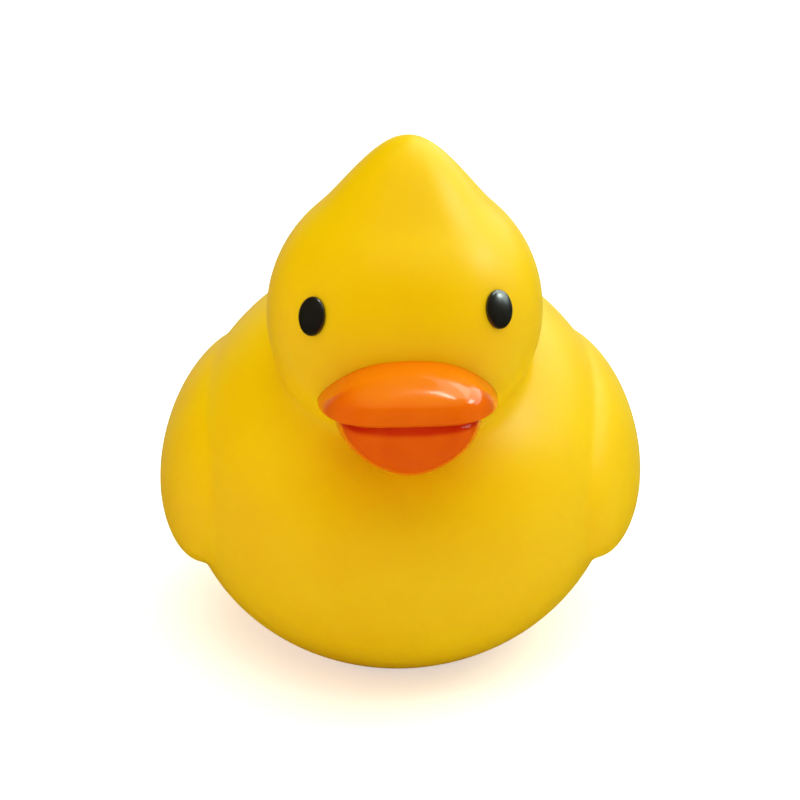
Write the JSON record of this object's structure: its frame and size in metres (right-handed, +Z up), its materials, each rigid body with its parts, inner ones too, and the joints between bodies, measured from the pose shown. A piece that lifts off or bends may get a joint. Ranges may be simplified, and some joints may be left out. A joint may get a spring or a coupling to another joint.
{
  "type": "squeeze toy duck",
  "caption": "Soft hollow vinyl toy duck with a crested round head, broad painted bill, low wing pads and a flat belly to stand on.",
  "frame": {"origin": "on the surface it stands on, at the middle of the belly's flat", "axes": "+Z up, -Y the way the duck faces, +X its left side"},
  "size_m": [0.0807, 0.1033, 0.0918],
  "materials": {
    "yellow_vinyl": "soft moulded vinyl with a dull gloss",
    "orange_paint": "sprayed gloss paint on the bill",
    "black_paint": "dabbed gloss paint on the eyes"
  },
  "bodies": {
    "root": {"duck": "yellow_vinyl"}
  },
  "joints": []
}
